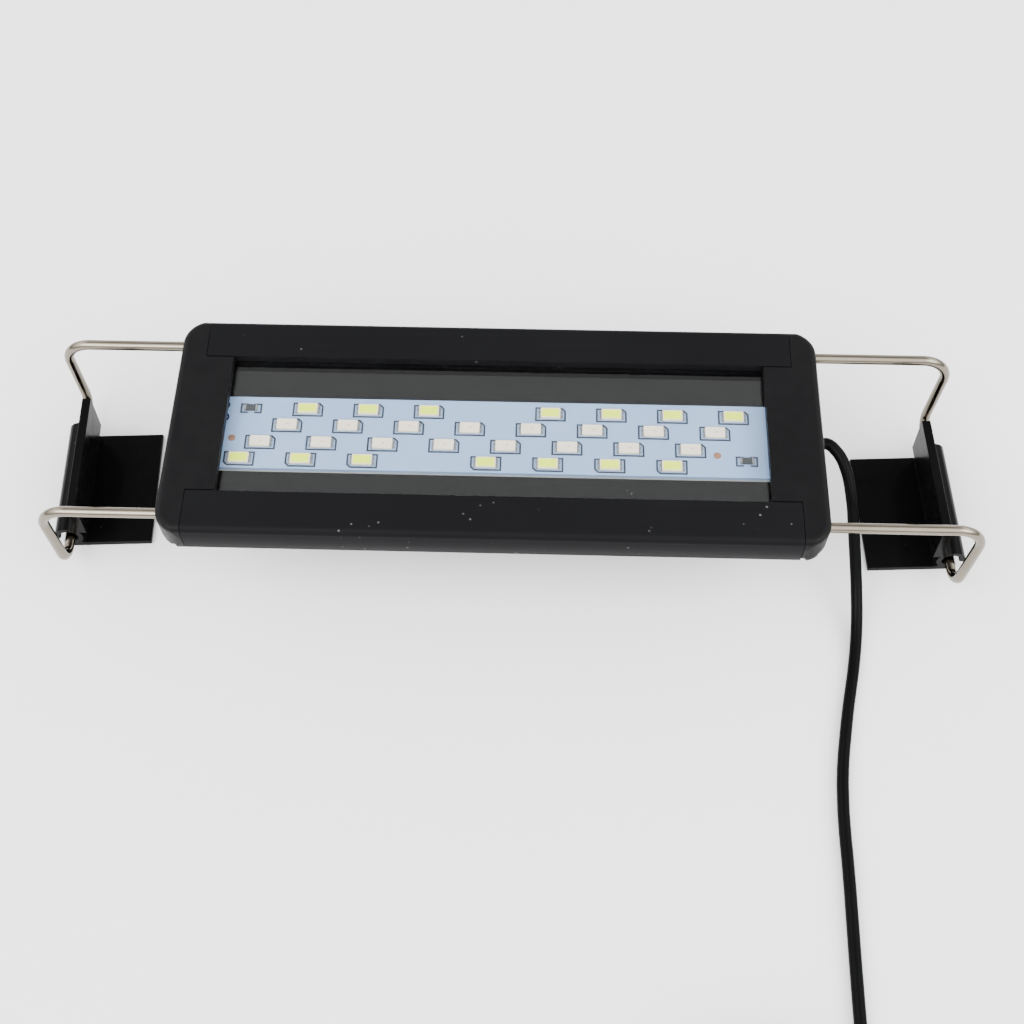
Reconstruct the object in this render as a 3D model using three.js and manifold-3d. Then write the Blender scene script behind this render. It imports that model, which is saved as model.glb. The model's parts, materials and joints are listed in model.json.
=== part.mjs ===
// LED aquarium light on two sliding wire brackets. Millimetres, +Z up.
// It lies with its lit side up and stands on the two clips: Z = 0 is the surface under the clips.
// X runs along the light, -Y is its front, and the origin is midway between the brackets' cross bars.
import * as THREE from 'three';
import { mergeVertices } from 'three/addons/utils/BufferGeometryUtils.js';
import Module from 'manifold-3d';

const wasm = await Module();
wasm.setup();

// ---------- driving dimensions ----------
const GAP = 0.3; // clearance between pieces that touch

// housing: every height inside the light is measured down from its lit face
const LIGHT_TOP_Z = 32.4;
const LIGHT_X = -2.1; // the light sits off centre because the right bracket is pulled out further
const BODY_HALF_LENGTH = 75.35;
const BODY_HALF_WIDTH = 29;
const BODY_HEIGHT = 9;
const SIDE_BULGE = 0.4;
const EDGE_RADIUS = 1.6;
const SEAM_X = 69; // where the extrusion ends and an end cap starts
const RIB_PITCH = 4;
const RIB_GROOVE_WIDTH = 2.4;
const RIB_GROOVE_DEPTH = 1;
const RIB_GROOVES_EACH_SIDE = 5;

// window in the lit face
const WINDOW_HALF_LENGTH = 62.5;
const WINDOW_HALF_WIDTH = 18.45;
const FLOOR_DEPTH = 6.7;
const GROOVE_TOP_DEPTH = 2;
const GROOVE_BOTTOM_DEPTH = 4;
const GROOVE_HALF_WIDTH = 19.6;
const LENS_THICKNESS = 1.4;

// hollow rails: a wire channel over a lower chamber, and a screw port beside them
const CHANNEL_INNER_Y = 21;
const CHAMBER_INNER_Y = 22.4;
const CHAMBER_OUTER_Y = 27.5;
const CHAMBER_TOP_DEPTH = 1.4;
const CHANNEL_STEP_DEPTH = 4.8;
const CHAMBER_BOTTOM_DEPTH = 7.6;
const SCREW_Y = 20.1;
const SCREW_DEPTH = 6.4;
const SCREW_PORT_RADIUS = 1.15;

// end caps
const CAP_CORNER_RADIUS = 6.2;
const CAP_EDGE_RADIUS = 1.4;
const POCKET_HALF_WIDTH = 16;
const POCKET_END_X = 73.2;
const POCKET_TOP_DEPTH = 2.6;
const SCREW_HEAD_RADIUS = 1.6;
const SCREW_HEAD_HEIGHT = 1.2;
const SCREW_SHAFT_RADIUS = 0.85;
const SCREW_LENGTH = 12;
const CORD_HOLE_RADIUS = 2.5;
const CORD_DEPTH = 4.5;
const BUSH_INNER_X = 72.6;
const BUSH_OUTER_X = 75.65;

// LED board
const BOARD_HALF_LENGTH = 66;
const BOARD_HALF_WIDTH = 9.75;
const BOARD_TOP_DEPTH = 4.9;
const BOARD_THICKNESS = 1;
const PAD_THICKNESS = 0.4;
const PAD_GAP = 0.2;
const LED_LENGTH = 5.7;
const LED_WIDTH = 3;
const LED_HEIGHT = 0.8;
const SOLDER_GAP = 0.1;
const LED_PITCH = 14.25;
const LEDS_PER_ROW = 8;
const LED_ROWS = [
  { firstX: -44.3, y: 6.5, skipped: 3 },
  { firstX: -48.8, y: 2, skipped: null },
  { firstX: -54.6, y: -2.75, skipped: null },
  { firstX: -59, y: -7.3, skipped: 3 },
];
const RESISTOR_LENGTH = 3.2;
const RESISTOR_WIDTH = 1.6;
const RESISTOR_HEIGHT = 0.6;
const RESISTOR_PLACES = [[-57.7, 6.55], [58, -5.4]];
const LEAD_RADIUS = 0.4;
const LEAD_PAD_X = 64.6;
const LEAD_SPACING = 3.4;

// wire brackets
const WIRE_RADIUS = 1.2;
const WIRE_Y = 23;
const WIRE_DEPTH = 3;
const WIRE_SLACK = 0.3;
const BAR_X = 105.9;
const BAR_Z = 4.5;
const BRACKET_SKEW = THREE.MathUtils.degToRad(3);
const PRONG_BEND_RADIUS = 6.5;
const BAR_BEND_RADIUS = 4.5;
const PRONG_LENGTH = 75;
const BRACKETS = [
  { name: 'left', side: -1, lean: 0 },
  { name: 'right', side: 1, lean: 1.2 }, // its legs lean out and back by this much from bar to prongs
];

// clips that turn on the cross bars; S runs from the clip's tube towards the light
const CLIP_LENGTH = 30.8;
const CLIP_ALONG_BAR = -0.8;
const CLIP_OFF_BAR = 0.4; // how far the tube's axis lies outside the bar's
const CLIP_BORE_RADIUS = WIRE_RADIUS + CLIP_OFF_BAR + 2 * GAP;
const CLIP_TUBE_RADIUS = 3.4;
const CLIP_SLIT_FROM = THREE.MathUtils.degToRad(195);
const CLIP_SLIT_TO = THREE.MathUtils.degToRad(235);
const FOOT_INNER_S = 19.2;
const FOOT_OUTER_S = -1.3;
const FOOT_THICKNESS = 1.4;
const WALL_BOTTOM = 1.8; // above the cross bar
const WALL_TOP = 13.9;
const WALL_INNER_S = 5.2;
const WALL_THICKNESS = 2.1;
const WALL_TAPER = 0.5; // how far the wall's foot stands nearer the tube than its top

// cord and its plug
const CORD_RADIUS = 1.4;
const CORD_STEP = 7;
const FLOOR_RUN_Z = 1.45; // middle of the cord where it lies on the surface
const COIL_RADIUS = 15.4; // middle of the turns
const COIL_SPAN = 8.95; // from the innermost turn to the outermost, middle to middle
const COIL_LAYERS = 4;
const LAYER_PITCH = 2.9;
const COIL_CENTRE = [56.6, -151.5];
const PLUG_RADIUS = 5;
const PLUG_LENGTH = 17;
const RELIEF_LENGTH = 9;
const BARREL_RADIUS = 2.75;
const BARREL_BORE_RADIUS = 1.05;
const BARREL_LENGTH = 9.5;

// ---------- materials ----------
const material = (color, roughness, metalness, extra = {}) =>
  new THREE.MeshStandardMaterial({ color, roughness, metalness, ...extra });

const MATERIALS = {
  anodised: material(0x232326, 0.45, 0.6),
  capPlastic: material(0x262628, 0.5, 0),
  clearCover: material(0xdfe6ea, 0.08, 0, { transparent: true, opacity: 0.3 }),
  boardWhite: material(0xbfcddd, 0.5, 0),
  thermalTape: material(0xb9b9b4, 0.8, 0),
  ledCream: material(0xe6dfcf, 0.4, 0),
  resistorBlack: material(0x18181a, 0.5, 0),
  nickel: material(0xd6d2cb, 0.18, 1),
  clipBlack: material(0x060607, 0.12, 0),
  screwSteel: material(0x9b9b9d, 0.35, 1),
  rubberBlack: material(0x141415, 0.7, 0),
  leadRed: material(0xa8231c, 0.5, 0),
  leadBlack: material(0x151516, 0.5, 0),
  cordBlack: material(0x101011, 0.35, 0),
};

// ---------- helpers ----------
function toSolid(geometry) {
  const bare = geometry.index ? geometry.toNonIndexed() : geometry.clone();
  bare.deleteAttribute('normal');
  bare.deleteAttribute('uv');
  const merged = mergeVertices(bare, 1e-5);
  const mesh = new wasm.Mesh({
    numProp: 3,
    vertProperties: Float32Array.from(merged.attributes.position.array),
    triVerts: Uint32Array.from(merged.index.array),
  });
  return new wasm.Manifold(mesh);
}

function toGeometry(solid) {
  const { vertProperties, triVerts } = solid.getMesh();
  const geometry = new THREE.BufferGeometry();
  geometry.setAttribute('position', new THREE.BufferAttribute(vertProperties, 3));
  geometry.setIndex(new THREE.BufferAttribute(triVerts, 1));
  geometry.computeVertexNormals();
  return geometry;
}

// a box given by its lowest and highest corners
function boxBetween(low, high) {
  const size = high.map((value, i) => value - low[i]);
  const centre = high.map((value, i) => (value + low[i]) / 2);
  return new THREE.BoxGeometry(...size).translate(...centre);
}

// a cylinder along X
function rodAlongX(radius, fromX, toX, y, z, sides = 24) {
  const rod = new THREE.CylinderGeometry(radius, radius, toX - fromX, sides);
  return rod.rotateZ(Math.PI / 2).translate((fromX + toX) / 2, y, z);
}

// an outline in (Y, Z) carried along X
function extrudeAlongX(shape, fromX, toX, curveSegments = 6) {
  const geometry = new THREE.ExtrudeGeometry(shape, { depth: toX - fromX, bevelEnabled: false, curveSegments });
  const swap = new THREE.Matrix4().set(0, 0, 1, fromX, 1, 0, 0, 0, 0, 1, 0, 0, 0, 0, 0, 1);
  return geometry.applyMatrix4(swap);
}

// a round bar along a curve
function tubeAlong(curve, radius, sides, steps) {
  const section = new THREE.Shape();
  section.absarc(0, 0, radius, 0, 2 * Math.PI);
  const options = { extrudePath: curve, steps, curveSegments: sides, bevelEnabled: false };
  return new THREE.ExtrudeGeometry(section, options);
}

function addPiece(group, name, geometry, pieceMaterial) {
  const mesh = new THREE.Mesh(geometry, pieceMaterial);
  mesh.name = name;
  group.add(mesh);
  return mesh;
}

// A wire with a bend at each inner corner: steps fall only at its ends and round its bends.
class BentWire extends THREE.Curve {
  constructor(corners, bendRadii, stepsPerBend) {
    super();
    this.stations = [{ point: corners[0], tangent: BentWire.direction(corners[0], corners[1]) }];
    bendRadii.forEach((radius, i) => {
      this.addBend(corners[i], corners[i + 1], corners[i + 2], radius, stepsPerBend);
    });
    const last = corners.length - 1;
    this.stations.push({ point: corners[last], tangent: BentWire.direction(corners[last - 1], corners[last]) });
  }

  static direction(from, to) {
    return to.clone().sub(from).normalize();
  }

  addBend(before, corner, after, radius, steps) {
    const into = BentWire.direction(before, corner);
    const out = BentWire.direction(corner, after);
    const turn = into.angleTo(out);
    const start = corner.clone().addScaledVector(into, -radius * Math.tan(turn / 2));
    const inward = out.clone().addScaledVector(into, -out.dot(into)).normalize();
    for (let k = 0; k <= steps; k += 1) {
      const angle = (turn * k) / steps;
      const point = start.clone().addScaledVector(into, radius * Math.sin(angle));
      point.addScaledVector(inward, radius * (1 - Math.cos(angle)));
      const tangent = into.clone().multiplyScalar(Math.cos(angle)).addScaledVector(inward, Math.sin(angle));
      this.stations.push({ point, tangent });
    }
  }

  get steps() {
    return this.stations.length - 1;
  }

  stationAt(u) {
    return this.stations[Math.round(u * this.steps)];
  }

  getPoint(t, target = new THREE.Vector3()) {
    return target.copy(this.stationAt(t).point);
  }

  getPointAt(u, target) {
    return this.getPoint(u, target);
  }

  getTangentAt(u, target = new THREE.Vector3()) {
    return target.copy(this.stationAt(u).tangent);
  }
}

// ---------- housing ----------
// Outer outline of the light in (Y, Z), from the left end of its underside to the left end of its top.
function traceOutside(shape, underside) {
  const w = BODY_HALF_WIDTH - SIDE_BULGE / 2;
  const r = EDGE_RADIUS;
  const bottom = -BODY_HEIGHT;
  shape.moveTo(-w + r, bottom);
  underside(shape, bottom);
  shape.lineTo(w - r, bottom);
  shape.absarc(w - r, bottom + r, r, -Math.PI / 2, 0);
  shape.quadraticCurveTo(w + SIDE_BULGE, -BODY_HEIGHT / 2, w, -r);
  shape.absarc(w - r, -r, r, 0, Math.PI / 2);
}

function traceLeftSide(shape) {
  const w = BODY_HALF_WIDTH - SIDE_BULGE / 2;
  const r = EDGE_RADIUS;
  const bottom = -BODY_HEIGHT;
  shape.lineTo(-w + r, 0);
  shape.absarc(-w + r, -r, r, Math.PI / 2, Math.PI);
  shape.quadraticCurveTo(-w - SIDE_BULGE, -BODY_HEIGHT / 2, -w, bottom + r);
  shape.absarc(-w + r, bottom + r, r, Math.PI, 1.5 * Math.PI);
}

function coolingRibs(shape, bottom) {
  for (let i = -RIB_GROOVES_EACH_SIDE; i <= RIB_GROOVES_EACH_SIDE; i += 1) {
    const y = i * RIB_PITCH;
    shape.lineTo(y - RIB_GROOVE_WIDTH / 2, bottom);
    shape.lineTo(y - RIB_GROOVE_WIDTH / 2, bottom + RIB_GROOVE_DEPTH);
    shape.lineTo(y + RIB_GROOVE_WIDTH / 2, bottom + RIB_GROOVE_DEPTH);
    shape.lineTo(y + RIB_GROOVE_WIDTH / 2, bottom);
  }
}

// the open window with its two lens grooves, cut into the top from +Y to -Y
function traceWindow(shape) {
  const lip = WINDOW_HALF_WIDTH;
  shape.lineTo(lip, 0);
  shape.lineTo(lip, -GROOVE_TOP_DEPTH);
  shape.lineTo(GROOVE_HALF_WIDTH, -GROOVE_TOP_DEPTH);
  shape.lineTo(GROOVE_HALF_WIDTH, -GROOVE_BOTTOM_DEPTH);
  shape.lineTo(lip, -GROOVE_BOTTOM_DEPTH);
  shape.lineTo(lip, -FLOOR_DEPTH);
  shape.lineTo(-lip, -FLOOR_DEPTH);
  shape.lineTo(-lip, -GROOVE_BOTTOM_DEPTH);
  shape.lineTo(-GROOVE_HALF_WIDTH, -GROOVE_BOTTOM_DEPTH);
  shape.lineTo(-GROOVE_HALF_WIDTH, -GROOVE_TOP_DEPTH);
  shape.lineTo(-lip, -GROOVE_TOP_DEPTH);
  shape.lineTo(-lip, 0);
}

function railHollows(side) {
  const chamber = new THREE.Path();
  chamber.moveTo(side * CHANNEL_INNER_Y, -CHAMBER_TOP_DEPTH);
  chamber.lineTo(side * CHAMBER_OUTER_Y, -CHAMBER_TOP_DEPTH);
  chamber.lineTo(side * CHAMBER_OUTER_Y, -CHAMBER_BOTTOM_DEPTH);
  chamber.lineTo(side * CHAMBER_INNER_Y, -CHAMBER_BOTTOM_DEPTH);
  chamber.lineTo(side * CHAMBER_INNER_Y, -CHANNEL_STEP_DEPTH);
  chamber.lineTo(side * CHANNEL_INNER_Y, -CHANNEL_STEP_DEPTH);
  chamber.closePath();
  const port = new THREE.Path();
  port.absarc(side * SCREW_Y, -SCREW_DEPTH, SCREW_PORT_RADIUS, 0, 2 * Math.PI);
  return [chamber, port];
}

function housingExtrusion() {
  const shape = new THREE.Shape();
  traceOutside(shape, coolingRibs);
  traceWindow(shape);
  traceLeftSide(shape);
  shape.holes.push(...railHollows(1), ...railHollows(-1));
  return extrudeAlongX(shape, -SEAM_X, SEAM_X);
}

// One end cap, for the +X end; the left one is the same piece turned half a turn.
function endCap(hasCordHole) {
  const ends = new THREE.Shape();
  traceOutside(ends, () => {});
  traceLeftSide(ends);
  const band = toSolid(extrudeAlongX(ends, SEAM_X + GAP / 2, BODY_HALF_LENGTH + 1));

  const plan = new THREE.Shape();
  const r = CAP_CORNER_RADIUS;
  plan.moveTo(0, -BODY_HALF_WIDTH);
  plan.lineTo(BODY_HALF_LENGTH - r, -BODY_HALF_WIDTH);
  plan.absarc(BODY_HALF_LENGTH - r, -BODY_HALF_WIDTH + r, r, -Math.PI / 2, 0);
  plan.absarc(BODY_HALF_LENGTH - r, BODY_HALF_WIDTH - r, r, 0, Math.PI / 2);
  plan.lineTo(0, BODY_HALF_WIDTH);
  plan.closePath();
  const rounded = new THREE.ExtrudeGeometry(plan, {
    depth: BODY_HEIGHT - 2 * CAP_EDGE_RADIUS,
    bevelThickness: CAP_EDGE_RADIUS,
    bevelSize: CAP_EDGE_RADIUS,
    bevelOffset: -CAP_EDGE_RADIUS,
    bevelSegments: 4,
    curveSegments: 8,
  }).translate(0, 0, CAP_EDGE_RADIUS - BODY_HEIGHT);

  let cap = toSolid(rounded).intersect(band);
  cap = cap.add(toSolid(boxBetween(
    [WINDOW_HALF_LENGTH, -WINDOW_HALF_WIDTH + GAP, -GROOVE_TOP_DEPTH],
    [SEAM_X + 1, WINDOW_HALF_WIDTH - GAP, 0],
  )));
  cap = cap.subtract(toSolid(boxBetween(
    [SEAM_X - 1, -POCKET_HALF_WIDTH, -FLOOR_DEPTH],
    [POCKET_END_X, POCKET_HALF_WIDTH, -POCKET_TOP_DEPTH],
  )));
  const past = BODY_HALF_LENGTH + 2;
  for (const side of [-1, 1]) {
    const wireBore = rodAlongX(WIRE_RADIUS + WIRE_SLACK, SEAM_X - 1, past, side * WIRE_Y, -WIRE_DEPTH);
    const screwHole = rodAlongX(SCREW_PORT_RADIUS, SEAM_X - 1, past, side * SCREW_Y, -SCREW_DEPTH);
    const headSeat = rodAlongX(SCREW_HEAD_RADIUS + GAP, BODY_HALF_LENGTH - SCREW_HEAD_HEIGHT - GAP, past,
      side * SCREW_Y, -SCREW_DEPTH);
    cap = cap.subtract(toSolid(wireBore)).subtract(toSolid(screwHole)).subtract(toSolid(headSeat));
  }
  if (hasCordHole) {
    cap = cap.subtract(toSolid(rodAlongX(CORD_HOLE_RADIUS, POCKET_END_X - 1, past, 0, -CORD_DEPTH)));
  }
  return toGeometry(cap);
}

// pan-head screw along X, its head's outer face just below the end cap's face
function capScrew() {
  const headStart = -SCREW_HEAD_HEIGHT;
  const profile = [
    [0, -SCREW_LENGTH],
    [SCREW_SHAFT_RADIUS * 0.5, -SCREW_LENGTH],
    [SCREW_SHAFT_RADIUS, -SCREW_LENGTH + 1],
    [SCREW_SHAFT_RADIUS, headStart],
    [SCREW_HEAD_RADIUS, headStart],
    [SCREW_HEAD_RADIUS, headStart + SCREW_HEAD_HEIGHT * 0.5],
    [SCREW_HEAD_RADIUS * 0.7, 0],
    [0, 0],
  ].map(([radius, height]) => new THREE.Vector2(radius, height));
  return new THREE.LatheGeometry(profile, 16).rotateZ(-Math.PI / 2);
}

function addHousing(light) {
  addPiece(light, 'housing_extrusion', housingExtrusion(), MATERIALS.anodised);
  addPiece(light, 'end_cap_right', endCap(true), MATERIALS.capPlastic);
  addPiece(light, 'end_cap_left', endCap(false).rotateZ(Math.PI), MATERIALS.capPlastic);
  for (const [end, turn] of [['right', 0], ['left', Math.PI]]) {
    for (const [place, side] of [['front', -1], ['rear', 1]]) {
      const alongLight = turn === 0 ? 1 : -1;
      const screw = capScrew().rotateZ(turn);
      screw.translate(alongLight * (BODY_HALF_LENGTH - GAP / 2), side * SCREW_Y, -SCREW_DEPTH);
      addPiece(light, `cap_screw_${end}_${place}`, screw, MATERIALS.screwSteel);
    }
  }
  const lensTop = -GROOVE_TOP_DEPTH - GAP;
  const lensHalfLength = SEAM_X - GAP / 2;
  const lensHalfWidth = GROOVE_HALF_WIDTH - GAP;
  addPiece(light, 'cover_lens', boxBetween(
    [-lensHalfLength, -lensHalfWidth, lensTop - LENS_THICKNESS],
    [lensHalfLength, lensHalfWidth, lensTop],
  ), MATERIALS.clearCover);
}

// ---------- LED board ----------
// a small chip along X: a body over two lower metal ends
function chip(length, width, height, endLength) {
  const outline = new THREE.Shape();
  const l = length / 2;
  const endHeight = height * 0.3;
  outline.moveTo(-l, 0);
  outline.lineTo(l, 0);
  outline.lineTo(l, endHeight);
  outline.lineTo(l - endLength, endHeight);
  outline.lineTo(l - endLength, height);
  outline.lineTo(-l + endLength, height);
  outline.lineTo(-l + endLength, endHeight);
  outline.lineTo(-l, endHeight);
  outline.closePath();
  const block = new THREE.ExtrudeGeometry(outline, { depth: width, bevelEnabled: false });
  return block.rotateX(Math.PI / 2).translate(0, width / 2, 0);
}

function addBoard(light) {
  const boardBottom = -BOARD_TOP_DEPTH - BOARD_THICKNESS;
  addPiece(light, 'led_board', boxBetween(
    [-BOARD_HALF_LENGTH, -BOARD_HALF_WIDTH, boardBottom],
    [BOARD_HALF_LENGTH, BOARD_HALF_WIDTH, -BOARD_TOP_DEPTH],
  ), MATERIALS.boardWhite);
  addPiece(light, 'thermal_tape', boxBetween(
    [-BOARD_HALF_LENGTH, -BOARD_HALF_WIDTH, boardBottom - PAD_GAP - PAD_THICKNESS],
    [BOARD_HALF_LENGTH, BOARD_HALF_WIDTH, boardBottom - PAD_GAP],
  ), MATERIALS.thermalTape);

  const chipZ = -BOARD_TOP_DEPTH + SOLDER_GAP;
  LED_ROWS.forEach((row, rowIndex) => {
    for (let column = 0; column < LEDS_PER_ROW; column += 1) {
      if (column !== row.skipped) {
        const led = chip(LED_LENGTH, LED_WIDTH, LED_HEIGHT, 0.5);
        const mesh = addPiece(light, `led_row${rowIndex + 1}_${column + 1}`, led, MATERIALS.ledCream);
        mesh.position.set(row.firstX + column * LED_PITCH, row.y, chipZ);
      }
    }
  });
  RESISTOR_PLACES.forEach(([x, y], index) => {
    const resistor = chip(RESISTOR_LENGTH, RESISTOR_WIDTH, RESISTOR_HEIGHT, 0.4);
    const name = index === 0 ? 'resistor_left' : 'resistor_right';
    addPiece(light, name, resistor, MATERIALS.resistorBlack).position.set(x, y, chipZ);
  });
}

// the cord's two cores, from its moulded bush to the pads at the board's right end
function addLeads(light) {
  const padZ = -BOARD_TOP_DEPTH + SOLDER_GAP + LEAD_RADIUS;
  for (const [name, side, colour] of [['positive', 1, 'leadRed'], ['negative', -1, 'leadBlack']]) {
    const curve = new THREE.CatmullRomCurve3([
      new THREE.Vector3(BUSH_INNER_X - GAP, side * 0.8, -CORD_DEPTH),
      new THREE.Vector3(SEAM_X + 0.6, side * LEAD_SPACING * 0.35, -CORD_DEPTH),
      new THREE.Vector3(BOARD_HALF_LENGTH + 1, side * LEAD_SPACING * 0.5, padZ),
      new THREE.Vector3(LEAD_PAD_X, side * LEAD_SPACING * 0.5, padZ),
    ]);
    addPiece(light, `lead_${name}`, tubeAlong(curve, LEAD_RADIUS, 8, 10), MATERIALS[colour]);
  }
}

// bush moulded onto the cord, which holds it in the right end cap
function cordBush() {
  const radius = CORD_HOLE_RADIUS - GAP;
  const profile = [
    [0, BUSH_INNER_X],
    [radius, BUSH_INNER_X],
    [radius, BUSH_OUTER_X - 0.3],
    [radius - 0.3, BUSH_OUTER_X],
    [0, BUSH_OUTER_X],
  ].map(([r, x]) => new THREE.Vector2(r, x));
  return new THREE.LatheGeometry(profile, 20).rotateZ(-Math.PI / 2).translate(0, 0, -CORD_DEPTH);
}

// ---------- wire brackets ----------
// One piece of wire: prong, leg, cross bar, leg, prong.
function bracketWire({ side, lean }) {
  const prongZ = LIGHT_TOP_Z - WIRE_DEPTH;
  const corners = [];
  for (const y of [-WIRE_Y, WIRE_Y]) {
    const barX = side * BAR_X - y * Math.tan(BRACKET_SKEW);
    const ends = [
      new THREE.Vector3(barX + lean - side * PRONG_LENGTH, y, prongZ),
      new THREE.Vector3(barX + lean, y, prongZ),
      new THREE.Vector3(barX, y - lean, BAR_Z),
    ];
    corners.push(...(y < 0 ? ends : ends.reverse()));
  }
  const radii = [PRONG_BEND_RADIUS, BAR_BEND_RADIUS, BAR_BEND_RADIUS, PRONG_BEND_RADIUS];
  const path = new BentWire(corners, radii, 6);
  return tubeAlong(path, WIRE_RADIUS, 16, path.steps);
}

// ---------- clips ----------
// Outline in (S, height above the cross bar): foot, snap tube round the cross bar, and upright wall.
function clipOutline() {
  const footTop = -BAR_Z + FOOT_THICKNESS;
  const round = 0.5;
  const edge = 0.1;
  const wallOuterS = WALL_INNER_S - WALL_THICKNESS;
  const toFoot = THREE.MathUtils.degToRad(-45);
  const toWallInside = Math.asin(WALL_BOTTOM / CLIP_TUBE_RADIUS);
  const toWallOutside = THREE.MathUtils.degToRad(80);
  const onTube = (radius, angle) => [radius * Math.cos(angle), radius * Math.sin(angle)];
  const outline = new THREE.Shape();
  outline.moveTo(FOOT_OUTER_S + round, -BAR_Z);
  outline.lineTo(FOOT_INNER_S - round, -BAR_Z);
  outline.quadraticCurveTo(FOOT_INNER_S, -BAR_Z, FOOT_INNER_S, -BAR_Z + round);
  outline.lineTo(FOOT_INNER_S, footTop - round);
  outline.quadraticCurveTo(FOOT_INNER_S, footTop, FOOT_INNER_S - round, footTop);
  outline.lineTo(CLIP_TUBE_RADIUS, footTop);
  outline.quadraticCurveTo(CLIP_TUBE_RADIUS - round, footTop, ...onTube(CLIP_TUBE_RADIUS, toFoot));
  outline.absarc(0, 0, CLIP_TUBE_RADIUS, toFoot, toWallInside);
  outline.lineTo(WALL_INNER_S - WALL_TAPER - edge, WALL_BOTTOM);
  outline.lineTo(WALL_INNER_S - WALL_TAPER, WALL_BOTTOM + edge);
  outline.lineTo(WALL_INNER_S, WALL_TOP - edge);
  outline.lineTo(WALL_INNER_S - edge, WALL_TOP);
  outline.lineTo(wallOuterS + edge, WALL_TOP);
  outline.lineTo(wallOuterS, WALL_TOP - edge);
  outline.lineTo(wallOuterS - WALL_TAPER, CLIP_TUBE_RADIUS + 3 * round);
  outline.quadraticCurveTo(
    wallOuterS - WALL_TAPER, CLIP_TUBE_RADIUS + round, ...onTube(CLIP_TUBE_RADIUS, toWallOutside),
  );
  outline.absarc(0, 0, CLIP_TUBE_RADIUS, toWallOutside, CLIP_SLIT_FROM);
  outline.lineTo(...onTube(CLIP_BORE_RADIUS, CLIP_SLIT_FROM));
  outline.absarc(0, 0, CLIP_BORE_RADIUS, CLIP_SLIT_FROM, CLIP_SLIT_TO, true);
  outline.lineTo(...onTube(CLIP_TUBE_RADIUS, CLIP_SLIT_TO));
  outline.lineTo(FOOT_OUTER_S, footTop - edge);
  outline.lineTo(FOOT_OUTER_S, -BAR_Z + round);
  outline.closePath();
  return outline;
}

function clip({ side, lean }) {
  const outline = clipOutline();
  const options = { depth: CLIP_LENGTH, bevelEnabled: false, curveSegments: 14 };
  const block = new THREE.ExtrudeGeometry(outline, options);
  // turned so that the outline stands in X-Z with S along +X, centred along the cross bar
  block.rotateX(Math.PI / 2).translate(0, CLIP_LENGTH / 2, 0);
  if (side > 0) {
    block.rotateZ(Math.PI);
  }
  block.translate(0, CLIP_ALONG_BAR, 0).rotateZ(BRACKET_SKEW);
  return block.translate(side * (BAR_X + CLIP_OFF_BAR), -lean, BAR_Z);
}

function addBrackets(assembly) {
  for (const bracket of BRACKETS) {
    addPiece(assembly, `bracket_wire_${bracket.name}`, bracketWire(bracket), MATERIALS.nickel);
    addPiece(assembly, `clip_${bracket.name}`, clip(bracket), MATERIALS.clipBlack);
  }
}

// ---------- cord ----------
// From the bush the cord bends to the front, falls to the surface and runs forward to its coil.
const CORD_START_X = LIGHT_X + BUSH_OUTER_X + GAP;
const OUTER_TURN_RADIUS = COIL_RADIUS + COIL_SPAN / 2;
const COIL_CLEARANCE = 11; // from the coil's middle to where a cord on its outer turn comes clear of it
const CORD_ROUTE = [
  [CORD_START_X, 0, LIGHT_TOP_Z - CORD_DEPTH],
  [CORD_START_X + 0.9, 0, LIGHT_TOP_Z - CORD_DEPTH],
  [76.5, -1.4, 27.6],
  [78.6, -4.5, 26.2],
  [80.8, -11.1, 21.1],
  [81.7, -15.5, 16.6],
  [82.7, -21, 11.1],
  [83.4, -27, 6.4],
  [83.5, -34, 3],
  [82.6, -42, 1.6],
  [79.4, -58, FLOOR_RUN_Z],
  [77.2, -73, FLOOR_RUN_Z],
  [76.8, -96, FLOOR_RUN_Z],
  [COIL_CENTRE[0] + OUTER_TURN_RADIUS, -120, FLOOR_RUN_Z],
  [COIL_CENTRE[0] + OUTER_TURN_RADIUS, COIL_CENTRE[1] + COIL_CLEARANCE, FLOOR_RUN_Z],
];

// The tail leaves the coil's top layer at the front and comes down into the plug, which points along -X.
const TAIL_Y = COIL_CENTRE[1] - OUTER_TURN_RADIUS;
const TAIL_ROUTE = [
  [COIL_CENTRE[0] - COIL_CLEARANCE, TAIL_Y, FLOOR_RUN_Z + (COIL_LAYERS - 1) * LAYER_PITCH],
  [38, TAIL_Y, 9],
  [31, TAIL_Y, 6.2],
  [25.5, TAIL_Y, PLUG_RADIUS],
  [24, TAIL_Y, PLUG_RADIUS],
];

function cordTube(route) {
  const points = route.map((point) => new THREE.Vector3(...point));
  const curve = new THREE.CatmullRomCurve3(points, false, 'centripetal');
  return tubeAlong(curve, CORD_RADIUS, 8, Math.ceil(curve.getLength() / CORD_STEP));
}

// outer shape of the wound turns: a ring with rounded edges, standing on the surface
function cordCoil() {
  const edge = CORD_RADIUS;
  const inner = COIL_RADIUS - COIL_SPAN / 2 - edge;
  const outer = COIL_RADIUS + COIL_SPAN / 2 + edge;
  const height = (COIL_LAYERS - 1) * LAYER_PITCH + 2 * edge;
  const profile = new THREE.Shape();
  profile.moveTo(inner + edge, 0);
  profile.lineTo(outer - edge, 0);
  profile.absarc(outer - edge, edge, edge, -Math.PI / 2, 0);
  profile.absarc(outer - edge, height - edge, edge, 0, Math.PI / 2);
  profile.absarc(inner + edge, height - edge, edge, Math.PI / 2, Math.PI);
  profile.absarc(inner + edge, edge, edge, Math.PI, 1.5 * Math.PI);
  profile.closePath();
  const ring = new THREE.LatheGeometry(profile.getPoints(3), 40);
  return ring.rotateX(Math.PI / 2).translate(COIL_CENTRE[0], COIL_CENTRE[1], 0);
}

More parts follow.
